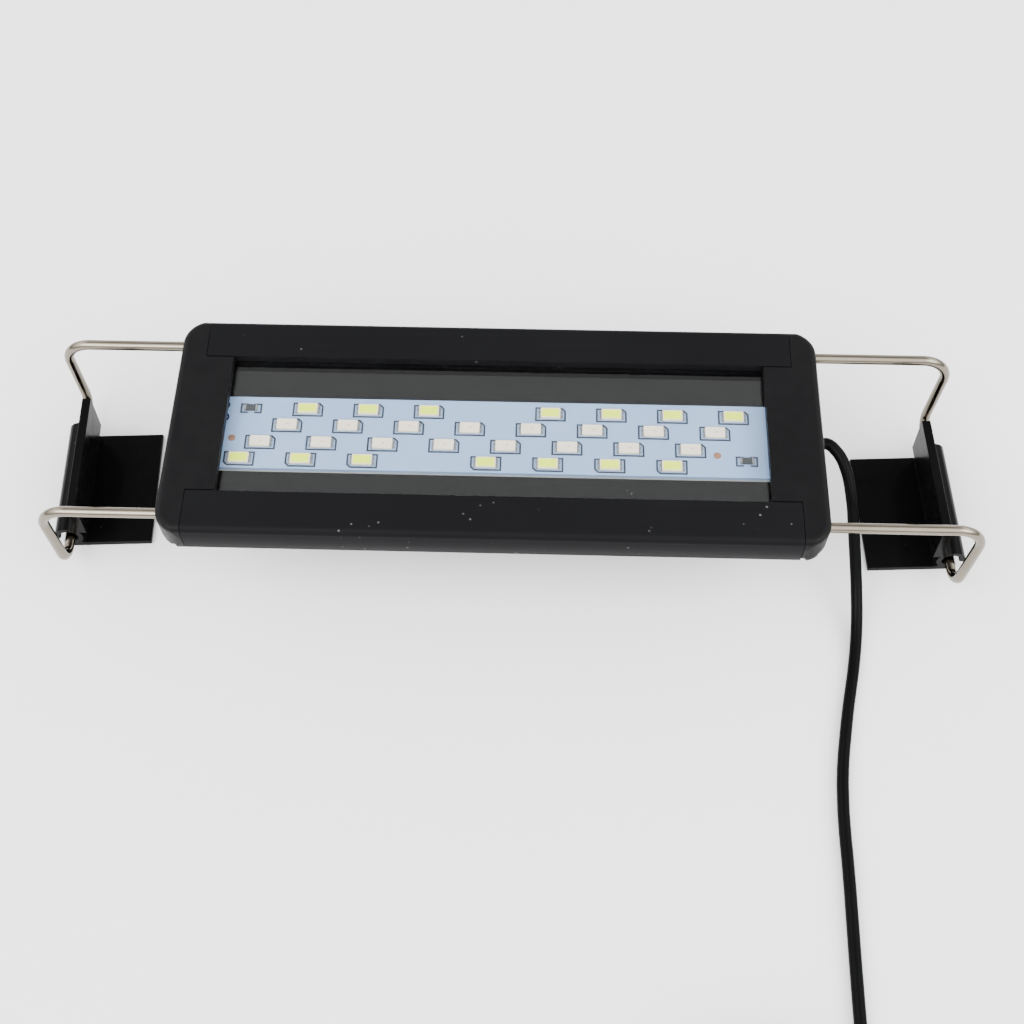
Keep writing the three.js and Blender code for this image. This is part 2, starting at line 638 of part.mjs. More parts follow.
// Round pieces on the plug's axis, given as (distance along -X from the tail's end, radius).
function alongPlug(profile, segments) {
  const points = profile.map(([distance, radius]) => new THREE.Vector2(radius, distance));
  const last = TAIL_ROUTE[TAIL_ROUTE.length - 1];
  return new THREE.LatheGeometry(points, segments).rotateZ(Math.PI / 2).translate(...last);
}

function addPlug(assembly) {
  const shoulder = GAP + RELIEF_LENGTH;
  const face = shoulder + PLUG_LENGTH;
  addPiece(assembly, 'plug_body', alongPlug([
    [GAP, 0],
    [GAP, CORD_RADIUS + 0.5],
    [shoulder, CORD_RADIUS + 1.4],
    [shoulder + 1.5, PLUG_RADIUS],
    [face - 0.8, PLUG_RADIUS],
    [face, PLUG_RADIUS - 0.8],
    [face, 0],
  ], 24), MATERIALS.cordBlack);
  const root = face + GAP;
  addPiece(assembly, 'plug_barrel', alongPlug([
    [root, 0],
    [root, BARREL_RADIUS],
    [root + BARREL_LENGTH - 0.4, BARREL_RADIUS],
    [root + BARREL_LENGTH, BARREL_RADIUS - 0.4],
    [root + BARREL_LENGTH, BARREL_BORE_RADIUS],
    [root + 1, BARREL_BORE_RADIUS],
    [root + 1, 0],
  ], 24), MATERIALS.nickel);
}

function addCord(assembly) {
  addPiece(assembly, 'cord', cordTube(CORD_ROUTE), MATERIALS.cordBlack);
  addPiece(assembly, 'cord_coil', cordCoil(), MATERIALS.cordBlack);
  addPiece(assembly, 'cord_tail', cordTube(TAIL_ROUTE), MATERIALS.cordBlack);
  addPlug(assembly);
}

// ---------- assembly ----------
const assembly = new THREE.Group();
const light = new THREE.Group();
light.position.set(LIGHT_X, 0, LIGHT_TOP_Z);
assembly.add(light);
addHousing(light);
addBoard(light);
addLeads(light);
addPiece(light, 'cord_bush', cordBush(), MATERIALS.rubberBlack);
addBrackets(assembly);
addCord(assembly);

export default assembly;
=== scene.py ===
"""Looks for the LED aquarium light: its cord, fine pieces, materials, studio and camera.

Metres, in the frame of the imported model. Sizes written as N * MM are millimetres.
"""
import json
import math

import bmesh
import bpy
from mathutils import Matrix, Vector


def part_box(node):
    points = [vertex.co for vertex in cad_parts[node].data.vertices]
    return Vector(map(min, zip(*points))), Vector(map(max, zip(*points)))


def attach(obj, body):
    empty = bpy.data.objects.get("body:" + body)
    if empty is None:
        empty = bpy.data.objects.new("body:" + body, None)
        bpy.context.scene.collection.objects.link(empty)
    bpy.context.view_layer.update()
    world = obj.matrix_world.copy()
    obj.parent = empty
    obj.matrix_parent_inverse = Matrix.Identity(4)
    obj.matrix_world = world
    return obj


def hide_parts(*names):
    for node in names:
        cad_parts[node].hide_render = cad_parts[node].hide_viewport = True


MM = 0.001

# camera
CAMERA_PLACE = Vector((8.4, -177.1, 307.1)) * MM
CAMERA_AIM = Vector((2.4, -22.4, 32.4)) * MM
CAMERA_ROLL = math.radians(-0.72)
CAMERA_LENS = 49.96
SENSOR_WIDTH = 36

# light: depths are below its lit face
LIGHT_X = -2.1 * MM
LIGHT_TOP_Z = 32.4 * MM
CORD_DEPTH = 4.5 * MM
BUSH_FACE_X = 75.65 * MM

# where colours change on the body: the inside under the cover, painted near black and dull as painted
# shade, and the chipped cap corners
PAINTED_SHADE_HALF_WIDTH = 19.8 * MM
PAINTED_SHADE_TOP_Z = 28.4 * MM
PAINTED_SHADE_BOTTOM_Z = 25 * MM
CHIPS_TOP_Z = 25.5 * MM
CHIPS_REAR_Y = -25.9 * MM

# LED board
LED_SIZE = Vector((5.7, 2.75, 0.8)) * MM
LED_END = 0.55 * MM
PRINT_LENGTH = 6.81 * MM
PRINT_WIDTH = 3.45 * MM
PRINT_LINE = 0.42 * MM
PRINT_CHAMFER = 0.75 * MM
PRINT_THICKNESS = 0.02 * MM
COPPER_POINTS = ((-61.3, -1.7), (51.3, -3.9))
PAD_RINGS = ((-63.9, 7.4), (-63.7, 4.0))

# brackets: each has a side and a lean, how far its legs lean out and back from bar to prongs
WIRE_RADIUS = 1.2 * MM
WIRE_Y = 23 * MM
WIRE_DEPTH = 3 * MM
BAR_X = 105.9 * MM
BAR_Z = 4.5 * MM
BRACKET_SKEW = math.radians(3)
PRONG_BEND_RADIUS = 6.5 * MM
BAR_BEND_RADIUS = 4.5 * MM
PRONG_LENGTH = 75 * MM
BRACKETS = {"left": (-1, 0), "right": (1, 1.2 * MM)}

# cord
CORD_RADIUS = 1.4 * MM
FLOOR_RUN_Z = 1.45 * MM
COIL_RADIUS = 15.4 * MM
COIL_SPAN = 8.95 * MM
COIL_LAYERS = 4
LAYER_PITCH = 2.9 * MM
COIL_CENTRE = Vector((56.6, -151.5, 0)) * MM
COIL_TURNS = 13.25
RISE_TURNS = 0.3
POINTS_PER_TURN = 24
TIE_ANGLE = math.radians(150)
TIE_THICKNESS = 0.4 * MM
TIE_WIDTH = 3 * MM

# plug, along its own axis from the end of the cord
RELIEF_START = 0.3 * MM
RELIEF_END = 9.3 * MM
RELIEF_RIDGES = 5
PLUG_RADIUS = 5 * MM
PLUG_FACE = 26.3 * MM
BARREL_RADIUS = 2.75 * MM
BARREL_ROOT = 26.6 * MM
BARREL_LENGTH = 9.5 * MM
BARREL_BORE_RADIUS = 1.05 * MM

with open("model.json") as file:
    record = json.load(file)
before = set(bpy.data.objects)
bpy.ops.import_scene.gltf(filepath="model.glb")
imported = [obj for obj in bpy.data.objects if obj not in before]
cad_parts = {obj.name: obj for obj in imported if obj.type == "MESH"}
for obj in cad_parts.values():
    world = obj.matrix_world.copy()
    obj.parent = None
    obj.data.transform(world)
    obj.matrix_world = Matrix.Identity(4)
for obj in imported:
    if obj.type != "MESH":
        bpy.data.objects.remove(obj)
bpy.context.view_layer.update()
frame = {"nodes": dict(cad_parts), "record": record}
nodes = frame["nodes"]
scene = bpy.context.scene


# ---------- node trees ----------
class Tree:
    """Short calls for joining shader nodes."""

    def __init__(self, tree, coordinates):
        self.tree = tree
        self.place = tree.nodes.new("ShaderNodeTexCoord").outputs[coordinates]

    def join(self, source, target):
        self.tree.links.new(source, target)
        return target

    def axis(self, name):
        split = self.tree.nodes.new("ShaderNodeSeparateXYZ")
        self.join(self.place, split.inputs["Vector"])
        return split.outputs[name]

    def band(self, source, low, high, to_low=0.0, to_high=1.0):
        """source between low and high, mapped to to_low and to_high, and clamped."""
        change = self.tree.nodes.new("ShaderNodeMapRange")
        change.inputs["From Min"].default_value = low
        change.inputs["From Max"].default_value = high
        change.inputs["To Min"].default_value = to_low
        change.inputs["To Max"].default_value = to_high
        self.join(source, change.inputs["Value"])
        return change.outputs["Result"]

    def edge(self, source, place, softness, to_low=0.0, to_high=1.0):
        """A change from to_low to to_high where source passes place."""
        return self.band(source, place - softness, place + softness, to_low, to_high)

    def math(self, operation, first, second=0.0):
        node = self.tree.nodes.new("ShaderNodeMath")
        node.operation = operation
        for socket, value in zip(node.inputs, (first, second)):
            if isinstance(value, (int, float)):
                socket.default_value = value
            else:
                self.join(value, socket)
        return node.outputs["Value"]

    def times(self, *factors):
        product = factors[0]
        for factor in factors[1:]:
            product = self.math("MULTIPLY", product, factor)
        return product

    def blend(self, factor, first, second):
        """A colour between first and second, which are colours or sockets."""
        mix = self.tree.nodes.new("ShaderNodeMix")
        mix.data_type = "RGBA"
        self.join(factor, mix.inputs["Factor"])
        for socket, value in ((mix.inputs[6], first), (mix.inputs[7], second)):
            if isinstance(value, tuple):
                socket.default_value = (*value, 1)
            else:
                self.join(value, socket)
        return mix.outputs[2]


class Surface(Tree):
    """Short calls for building one node material."""

    def __init__(self, name):
        self.material = bpy.data.materials.new(name)
        self.material.use_nodes = True
        super().__init__(self.material.node_tree, "Object")
        self.shader = self.tree.nodes["Principled BSDF"]
        self.output = self.tree.nodes["Material Output"]

    def set(self, **values):
        for key, value in values.items():
            self.shader.inputs[key.replace("_", " ")].default_value = value
        return self

    def stretched(self, scale):
        mapping = self.tree.nodes.new("ShaderNodeMapping")
        mapping.inputs["Scale"].default_value = scale
        self.join(self.place, mapping.inputs["Vector"])
        return mapping.outputs["Vector"]

    def noise(self, scale, detail=3.0, stretch=(1, 1, 1)):
        noise = self.tree.nodes.new("ShaderNodeTexNoise")
        noise.inputs["Scale"].default_value = scale
        noise.inputs["Detail"].default_value = detail
        self.join(self.stretched(stretch), noise.inputs["Vector"])
        return noise.outputs["Fac"]

    def specks(self, scale, size, patch_scale, patch_from, stretch=(1, 1, 1)):
        """Small spots that gather in patches."""
        cells = self.tree.nodes.new("ShaderNodeTexVoronoi")
        cells.inputs["Scale"].default_value = scale
        self.join(self.stretched(stretch), cells.inputs["Vector"])
        spots = self.band(cells.outputs["Distance"], size * 0.3, size, 1, 0)
        return self.times(spots, self.band(self.noise(patch_scale), patch_from, patch_from + 0.06))

    def colour(self, source):
        self.join(source, self.shader.inputs["Base Color"])
        return self

    def rough(self, source):
        self.join(source, self.shader.inputs["Roughness"])
        return self

    def bump(self, source, height, strength=1.0):
        bump = self.tree.nodes.new("ShaderNodeBump")
        bump.inputs["Distance"].default_value = height
        bump.inputs["Strength"].default_value = strength
        self.join(source, bump.inputs["Height"])
        if self.shader.inputs["Normal"].is_linked:
            self.join(self.shader.inputs["Normal"].links[0].from_socket, bump.inputs["Normal"])
        self.join(bump.outputs["Normal"], self.shader.inputs["Normal"])
        return self


# ---------- materials ----------
DUST = (0.19, 0.185, 0.18)


def anodised():
    """Black aluminium: drawn lines along X, dust and fine scratches, and a dull inside under the cover
    painted near black as painted shade.
    """
    n = Surface("black_anodised")
    drawn = n.noise(900, 3, stretch=(0.02, 1, 1))
    dust = n.specks(420, 0.14, 60, 0.56)
    scratches = n.specks(260, 0.05, 35, 0.57, stretch=(0.12, 1, 1))
    height = n.axis("Z")
    # painted shade: mask of the recess under the cover, between the rails and below the lip, which is
    # painted near black and made rougher
    inside = n.times(
        n.edge(n.math("ABSOLUTE", n.axis("Y")), PAINTED_SHADE_HALF_WIDTH, 0.1 * MM, 1, 0),
        n.edge(height, PAINTED_SHADE_TOP_Z, 0.05 * MM, 1, 0),
        n.edge(height, PAINTED_SHADE_BOTTOM_Z, 0.1 * MM),
    )
    base = n.blend(n.noise(25, 4), (0.0046, 0.0046, 0.0052), (0.0068, 0.0068, 0.0077))
    base = n.blend(n.times(dust, 0.5), base, DUST)
    base = n.blend(n.times(scratches, 0.35), base, DUST)
    # painted shade: the recess under the cover takes a near-black colour in place of the anodised tone
    n.colour(n.blend(inside, base, (0.0012, 0.0012, 0.0013)))
    n.rough(n.math("MAXIMUM", n.band(drawn, 0.3, 0.7, 0.28, 0.42), n.times(inside, 0.9)))
    n.bump(drawn, 0.00002, 0.4)
    n.bump(n.noise(2500, 2), 0.00001, 0.35)
    return n.set(IOR=1.1).material


def cap_plastic():
    """Moulded end caps, with pale chips along their lower front corners."""
    n = Surface("cap_plastic")
    dust = n.specks(330, 0.13, 45, 0.6)
    chipped = n.times(
        n.edge(n.axis("Z"), CHIPS_TOP_Z, 0.3 * MM, 1, 0),
        n.edge(n.axis("Y"), CHIPS_REAR_Y, 0.5 * MM, 1, 0),
        n.band(n.noise(330, 3), 0.44, 0.48),
    )
    base = n.blend(n.noise(40, 4), (0.0036, 0.0036, 0.004), (0.0062, 0.0062, 0.0066))
    n.colour(n.blend(chipped, n.blend(n.times(dust, 0.5), base, DUST), (0.72, 0.71, 0.69)))
    n.rough(n.band(n.noise(300, 4), 0.3, 0.7, 0.3, 0.44))
    n.bump(n.noise(1500, 3), 0.00003, 0.4)
    n.bump(chipped, 0.00008, 0.6)
    return n.set(IOR=1.15).material


def clear_cover():
    n = Surface("clear_cover")
    specks = n.specks(330, 0.1, 30, 0.56)
    n.colour(n.blend(specks, (0.93, 0.95, 0.955), (0.75, 0.75, 0.74)))
    n.rough(n.band(specks, 0, 1, 0.015, 0.6))
    n.set(IOR=1.49, Transmission_Weight=1.0)
    clear = n.tree.nodes.new("ShaderNodeBsdfTransparent")
    clear.inputs["Color"].default_value = (0.94, 0.955, 0.96, 1)
    path = n.tree.nodes.new("ShaderNodeLightPath")
    mix = n.tree.nodes.new("ShaderNodeMixShader")
    n.join(path.outputs["Is Shadow Ray"], mix.inputs["Fac"])
    n.join(n.shader.outputs["BSDF"], mix.inputs[1])
    n.join(clear.outputs["BSDF"], mix.inputs[2])
    n.join(mix.outputs["Shader"], n.output.inputs["Surface"])
    return n.material


def plain(name, low, high, roughness, scale=200, grain=0.00002, **values):
    """A moulded or painted surface: two close colours, uneven gloss and a fine grain."""
    n = Surface(name)
    n.colour(n.blend(n.noise(scale, 4), low, high))
    n.rough(n.band(n.noise(scale * 2, 3), 0.3, 0.7, roughness - 0.06, roughness + 0.06))
    n.bump(n.noise(scale * 8, 3), grain, 0.5)
    return n.set(**values).material


def nickel_wire():
    n = Surface("nickel_wire")
    tarnish = n.specks(500, 0.2, 120, 0.57)
    plating = n.blend(n.noise(90, 4), (0.15, 0.13, 0.10), (0.25, 0.22, 0.18))
    n.colour(n.blend(n.times(tarnish, 0.4), plating, (0.27, 0.22, 0.17)))
    n.rough(n.band(n.noise(500, 4), 0.3, 0.7, 0.1, 0.2))
    n.bump(n.noise(700, 3), 0.00002, 0.3)
    return n.set(Metallic=1.0).material


def clip_plastic():
    """Extruded black plastic with fine lines along the clip."""
    n = Surface("clip_plastic")
    lines = n.noise(1800, 2, stretch=(1, 0.02, 1))
    dust = n.specks(420, 0.12, 70, 0.6)
    base = n.blend(n.noise(60, 4), (0.0018, 0.0018, 0.002), (0.0034, 0.0034, 0.0036))
    n.colour(n.blend(n.times(dust, 0.35), base, DUST))
    n.rough(n.band(n.noise(220, 4), 0.3, 0.7, 0.14, 0.26))
    n.bump(lines, 0.00004, 0.45)
    n.bump(n.noise(45, 2), 0.0001, 0.25)
    return n.set(IOR=1.12).material


def cord_rubber():
    n = Surface("cord_rubber")
    n.colour(n.blend(n.noise(150, 4), (0.0022, 0.0022, 0.0024), (0.0042, 0.0042, 0.0044)))
    n.rough(n.band(n.noise(400, 4), 0.3, 0.7, 0.16, 0.26))
    n.bump(n.noise(900, 3), 0.00003, 0.4)
    return n.set(IOR=1.1).material


def solder_mask():
    n = Surface("solder_mask")
    flux = n.specks(240, 0.12, 50, 0.6)
    mask = n.blend(n.noise(35, 4), (0.21, 0.315, 0.50), (0.25, 0.36, 0.545))
    n.colour(n.blend(n.times(flux, 0.4), mask, (0.23, 0.25, 0.28)))
    n.rough(n.band(n.noise(160, 4), 0.3, 0.7, 0.32, 0.5))
    n.bump(n.noise(500, 3), 0.00003, 0.4)
    return n.set(IOR=1.45).material


MATERIALS = {
    "housing": anodised(),
    "cap_plastic": cap_plastic(),
    "clear_cover": clear_cover(),
    "board": solder_mask(),
    "thermal_tape": plain("thermal_tape", (0.36, 0.36, 0.35), (0.45, 0.45, 0.44), 0.8),
    "resistor": plain("resistor_body", (0.008, 0.009, 0.01), (0.02, 0.022, 0.024), 0.4, scale=900),
    "lead_red": plain("lead_red", (0.33, 0.02, 0.014), (0.42, 0.035, 0.022), 0.42),
    "lead_black": plain("lead_black", (0.012, 0.012, 0.012), (0.02, 0.02, 0.02), 0.42),
    "screw": plain("zinc_screw", (0.42, 0.42, 0.43), (0.55, 0.55, 0.55), 0.32, Metallic=1.0),
    "wire": nickel_wire(),
    "clip": clip_plastic(),
    "cord_rubber": cord_rubber(),
    "plug_metal": plain("plug_metal", (0.62, 0.6, 0.57), (0.7, 0.69, 0.66), 0.2, Metallic=1.0),
}
PACKAGE = plain("led_package", (0.66, 0.60, 0.49), (0.78, 0.72, 0.61), 0.35, scale=900)
CREAM_WINDOW = plain("cream_window", (0.70, 0.59, 0.46), (0.82, 0.72, 0.60), 0.22, scale=1600)
PHOSPHOR = plain("phosphor_window", (0.64, 0.78, 0.01), (0.77, 0.90, 0.03), 0.25, scale=900)
DIE = plain("led_die", (0.10, 0.05, 0.05), (0.16, 0.08, 0.07), 0.3, scale=2500)
TERMINAL = plain("tinned_terminal", (0.15, 0.148, 0.145), (0.44, 0.43, 0.42), 0.3, scale=1500, Metallic=0.8)
PRINT = plain("dark_print", (0.010, 0.014, 0.024), (0.018, 0.022, 0.034), 0.6, scale=900, IOR=1.2)
COPPER = plain("bare_copper", (0.22, 0.10, 0.05), (0.33, 0.16, 0.08), 0.4, scale=900, Metallic=0.5)
TIE_PLASTIC = plain("tie_plastic", (0.006, 0.006, 0.006), (0.012, 0.012, 0.012), 0.35, scale=500)
INSULATOR = plain("plug_insulator", (0.012, 0.012, 0.013), (0.02, 0.02, 0.021), 0.4, scale=600)


# ---------- making pieces ----------
def dress(obj, material, body):
    obj.data.materials.clear()
    obj.data.materials.append(material)
    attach(obj, body)
    return obj


def object_from(name, data):
    obj = bpy.data.objects.new(name, data)
    scene.collection.objects.link(obj)
    return obj


def mesh_from(name, bm):
    mesh = bpy.data.meshes.new(name)
    bmesh.ops.recalc_face_normals(bm, faces=bm.faces)
    bm.to_mesh(mesh)
    bm.free()
    return mesh


def smooth_by_angle(mesh, degrees=35):
    mesh.shade_smooth()
    mesh.set_sharp_from_angle(angle=math.radians(degrees))


def soften(obj, width, segments=3, limit=30):
    """Rounds the edges of a carried-over CAD node and smooths its shading."""
    bevel = obj.modifiers.new("rounded_edges", "BEVEL")
    bevel.width = width
    bevel.segments = segments
    bevel.limit_method = "ANGLE"
    bevel.angle_limit = math.radians(limit)
    bevel.harden_normals = True
    smooth_by_angle(obj.data, limit)


def wire_curve(name, points, radius, resolution=6):
    """A round wire through the points, as one open spline."""
    curve = bpy.data.curves.new(name, "CURVE")
    curve.dimensions = "3D"
    curve.bevel_depth = radius
    curve.bevel_resolution = resolution
    curve.resolution_u = 4
    curve.use_fill_caps = True
    spline = curve.splines.new("BEZIER")
    spline.bezier_points.add(len(points) - 1)
    for bezier, point in zip(spline.bezier_points, points):
        bezier.co = point
        bezier.handle_left_type = "AUTO"
        bezier.handle_right_type = "AUTO"
    return object_from(name, curve)


def turned(name, profile, segments=48):
    """A piece turned about its X axis from (along, radius) points; a radius of 0 closes an end."""
    bm = bmesh.new()
    rings = []
    for along, radius in profile:
        if radius == 0:
            rings.append([bm.verts.new((along, 0, 0))])
            continue
        angles = [2 * math.pi * i / segments for i in range(segments)]
        rings.append([bm.verts.new((along, radius * math.cos(a), radius * math.sin(a))) for a in angles])
    for ring, following in zip(rings, rings[1:]):
        for i in range(segments):
            corners = [ring[i % len(ring)], ring[(i + 1) % len(ring)]]
            corners += [following[(i + 1) % len(following)], following[i % len(following)]]
            bm.faces.new(dict.fromkeys(corners))
    mesh = mesh_from(name, bm)
    smooth_by_angle(mesh)
    return mesh


def add_block(bm, low, high, bevel, material_index=0):
    """One bevelled block between two corners."""
    made = bmesh.ops.create_cube(bm, size=1)["verts"]
    centre = (low + high) / 2
    size = high - low
    bmesh.ops.transform(bm, matrix=Matrix.Translation(centre) @ Matrix.Diagonal((*size, 1)), verts=made)
    edges = list(dict.fromkeys(edge for vert in made for edge in vert.link_edges))
    bevelled = bmesh.ops.bevel(bm, geom=edges, offset=bevel, segments=2, affect="EDGES")
    for vert in bevelled["verts"]:
        for face in vert.link_faces:
            face.material_index = material_index


# ---------- camera ----------
camera = object_from("camera", bpy.data.cameras.new("camera"))
camera.data.lens = CAMERA_LENS
camera.data.sensor_width = SENSOR_WIDTH
camera.data.clip_start = 0.01
look = (CAMERA_AIM - CAMERA_PLACE).to_track_quat("-Z", "Y").to_matrix().to_4x4()
camera.matrix_world = Matrix.Translation(CAMERA_PLACE) @ look @ Matrix.Rotation(CAMERA_ROLL, 4, "Z")
scene.camera = camera


# ---------- cord ----------
CORD_START = Vector((LIGHT_X + BUSH_FACE_X + 0.3 * MM, 0, LIGHT_TOP_Z - CORD_DEPTH))
OUTER_TURN = COIL_RADIUS + COIL_SPAN / 2
TAIL_Y = COIL_CENTRE.y - OUTER_TURN
VISIBLE_ROUTE = [
    (76.5, -1.4, 27.6),
    (78.6, -4.5, 26.2),
    (80.8, -11.1, 21.1),
    (81.7, -15.5, 16.6),
    (82.7, -21, 11.1),
    (83.4, -27, 6.4),
    (83.5, -34, 3),
    (82.6, -42, 1.6),
    (79.4, -58, 1.45),
    (77.2, -73, 1.45),
    (76.8, -96, 1.45),
]
TAIL_X = (38, 31, 25.5, 24)
TAIL_Z = (9, 6.2, 5, 5)


def coil_point(turns):
    """The cord's middle after that many turns, clockwise from +X, winding in and out by layers."""
    layer_turns = (COIL_TURNS - (COIL_LAYERS - 1) * RISE_TURNS) / COIL_LAYERS
    layer, along = divmod(turns, layer_turns + RISE_TURNS)
    inward = min(along / layer_turns, 1)
    rise = max(along - layer_turns, 0) / RISE_TURNS
    if layer % 2:
        inward = 1 - inward
    radius = OUTER_TURN - COIL_SPAN * inward
    angle = -2 * math.pi * turns
    from_tie = math.remainder(angle - TIE_ANGLE, 2 * math.pi)
    lift = TIE_THICKNESS * math.exp(-((from_tie / 0.45) ** 2))
    height = FLOOR_RUN_Z + LAYER_PITCH * (layer + rise * rise * (3 - 2 * rise)) + lift
    return COIL_CENTRE + Vector((radius * math.cos(angle), radius * math.sin(angle), height))


def cord_points():
    points = [CORD_START, CORD_START + Vector((0.9 * MM, 0, 0))]
    points += [Vector(place) * MM for place in VISIBLE_ROUTE]
    outer_x = COIL_CENTRE.x + OUTER_TURN
    for y in (-120, -132, -144):
        points.append(Vector((outer_x, y * MM, FLOOR_RUN_Z)))
    count = round(COIL_TURNS * POINTS_PER_TURN)
    points += [coil_point(COIL_TURNS * i / count) for i in range(count + 1)]
    top_z = FLOOR_RUN_Z + (COIL_LAYERS - 1) * LAYER_PITCH
    points.append(Vector((47 * MM, TAIL_Y, top_z)))
    points += [Vector((x * MM, TAIL_Y, z * MM)) for x, z in zip(TAIL_X, TAIL_Z)]
    return points


def relief_profile():
    """A tapered sleeve with flexing grooves between its ridges."""
    points = [(RELIEF_START, 0), (RELIEF_START, 1.85 * MM)]
    pitch = (RELIEF_END - RELIEF_START) / RELIEF_RIDGES
    for ridge in range(RELIEF_RIDGES):
        start = RELIEF_START + ridge * pitch
        radius = (1.95 + 0.2 * ridge) * MM
        points.append((start + 0.15 * pitch, radius))
        points.append((start + 0.6 * pitch, radius + 0.06 * MM))
        points.append((start + 0.7 * pitch, radius - 0.4 * MM))
        points.append((start + 0.95 * pitch, radius - 0.4 * MM))
    return points


def grip_profile():
    """The plug's body: a rounded shoulder, three finger grooves and a rounded face."""
    points = [(RELIEF_END, 2.8 * MM)]
    shoulder = 1.5 * MM
    for i in range(1, 7):
        angle = math.pi / 2 * i / 6
        points.append((
            RELIEF_END + shoulder * (1 - math.cos(angle)),
            2.8 * MM + (PLUG_RADIUS - 2.8 * MM) * math.sin(angle),
        ))
    for groove in range(3):
        middle = RELIEF_END + (5 + 3 * groove) * MM
        for offset, depth in ((-1, 0), (-0.6, 0.35), (0.6, 0.35), (1, 0)):
            points.append((middle + offset * MM, PLUG_RADIUS - depth * MM))
    points += [(PLUG_FACE - 0.8 * MM, PLUG_RADIUS), (PLUG_FACE - 0.25 * MM, PLUG_RADIUS - 0.25 * MM)]
    return points + [(PLUG_FACE, PLUG_RADIUS - 0.8 * MM), (PLUG_FACE, 0)]


def plug_piece(name, profile, material):
    piece = object_from(name, turned(name, profile))
    piece.location = (TAIL_X[-1] * MM, TAIL_Y, TAIL_Z[-1] * MM)
    piece.rotation_euler.z = math.pi
    return dress(piece, material, "light")


def plug():
    """The plug's moulded body, its sleeve and the insulator inside the sleeve."""
    tip = BARREL_ROOT + BARREL_LENGTH
    sleeve_inside = BARREL_RADIUS - 0.45 * MM
    rubber = MATERIALS["cord_rubber"]
    body = plug_piece("plug_grip", relief_profile() + grip_profile(), rubber)
    sleeve = plug_piece("plug_sleeve", [
        (BARREL_ROOT, 0),
        (BARREL_ROOT, BARREL_RADIUS),
        (tip - 0.3 * MM, BARREL_RADIUS),
        (tip, BARREL_RADIUS - 0.3 * MM),
        (tip, sleeve_inside),
        (BARREL_ROOT + 1 * MM, sleeve_inside),
        (BARREL_ROOT + 1 * MM, 0),
    ], MATERIALS["plug_metal"])
    insulator = plug_piece("plug_insulator", [
        (BARREL_ROOT + 1.1 * MM, 0),
        (BARREL_ROOT + 1.1 * MM, sleeve_inside - 0.03 * MM),
        (tip - 0.3 * MM, sleeve_inside - 0.03 * MM),
        (tip - 0.3 * MM, BARREL_BORE_RADIUS),
        (BARREL_ROOT + 2 * MM, BARREL_BORE_RADIUS),
        (BARREL_ROOT + 2 * MM, 0),
    ], INSULATOR)
    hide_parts("plug_body")
    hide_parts("plug_barrel")
    return [body, sleeve, insulator]


def rounded_loop(low, high, radius, steps=6):
    """Points of a rounded rectangle between two (across, height) corners, and their outward directions."""
    corners = [(high[0], high[1], 0), (low[0], high[1], 1), (low[0], low[1], 2), (high[0], low[1], 3)]
    points = []
    for across, height, quarter in corners:
        centre = Vector((across, height)) - Vector((
            math.copysign(radius, across - (low[0] + high[0]) / 2),
            math.copysign(radius, height - (low[1] + high[1]) / 2),
        ))
        for k in range(steps + 1):
            angle = math.pi / 2 * (quarter + k / steps)
            outward = Vector((math.cos(angle), math.sin(angle)))
            points.append((centre + radius * outward, outward))
    return points


def cord_tie():
    """A flat twist tie round the coil's turns, with its two ends twisted together."""
    reach = COIL_SPAN / 2 + CORD_RADIUS + 0.1 * MM
    top = 2 * TIE_THICKNESS + (COIL_LAYERS - 1) * LAYER_PITCH + 2 * CORD_RADIUS + 0.2 * MM
    span = reach + TIE_THICKNESS
    loop = rounded_loop((COIL_RADIUS - span, 0), (COIL_RADIUS + span, top), 2 * MM)
    out = Vector((math.cos(TIE_ANGLE), math.sin(TIE_ANGLE), 0))
    along = Vector((-out.y, out.x, 0))
    up = Vector((0, 0, 1))
    bm = bmesh.new()
    sections = []
    for point, outward in loop:
        outside = COIL_CENTRE + out * point.x + up * point.y
        inside = outside - (out * outward.x + up * outward.y) * TIE_THICKNESS
        half = along * TIE_WIDTH / 2
        edges = (outside - half, outside + half, inside + half, inside - half)
        sections.append([bm.verts.new(place) for place in edges])
    join_sections(bm, sections, closed=True)

    start = COIL_CENTRE + out * (COIL_RADIUS + reach + TIE_THICKNESS) + up * top * 0.55
    tails = []
    for i in range(33):
        twist = 3 * math.pi * i / 32
        middle = start + out * (9 * MM * i / 32) + up * (1.5 * MM * math.sin(math.pi * i / 32))
        wide = (along * math.cos(twist) + up * math.sin(twist)) * TIE_WIDTH * 0.4
        thick = (up * math.cos(twist) - along * math.sin(twist)) * TIE_THICKNESS
        tails.append([bm.verts.new(place) for place in (
            middle - wide - thick, middle + wide - thick, middle + wide + thick, middle - wide + thick,
        )])
    join_sections(bm, tails, closed=False)
    mesh = mesh_from("cord_tie", bm)
    smooth_by_angle(mesh)
    return dress(object_from("cord_tie", mesh), TIE_PLASTIC, "light")


def join_sections(bm, sections, closed):
    """Skins four-sided sections one to the next, and caps the ends of an open run."""
    following = sections[1:] + sections[:1] if closed else sections[1:]
    for section, after in zip(sections, following):
        for i in range(4):
            bm.faces.new((section[i], section[(i + 1) % 4], after[(i + 1) % 4], after[i]))
    if not closed:
        bm.faces.new(sections[0])
        bm.faces.new(sections[-1])


cord = wire_curve("cord_run", cord_points(), CORD_RADIUS)
dress(cord, MATERIALS["cord_rubber"], "light")
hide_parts("cord", "cord_coil", "cord_tail")
plug()
cord_tie()


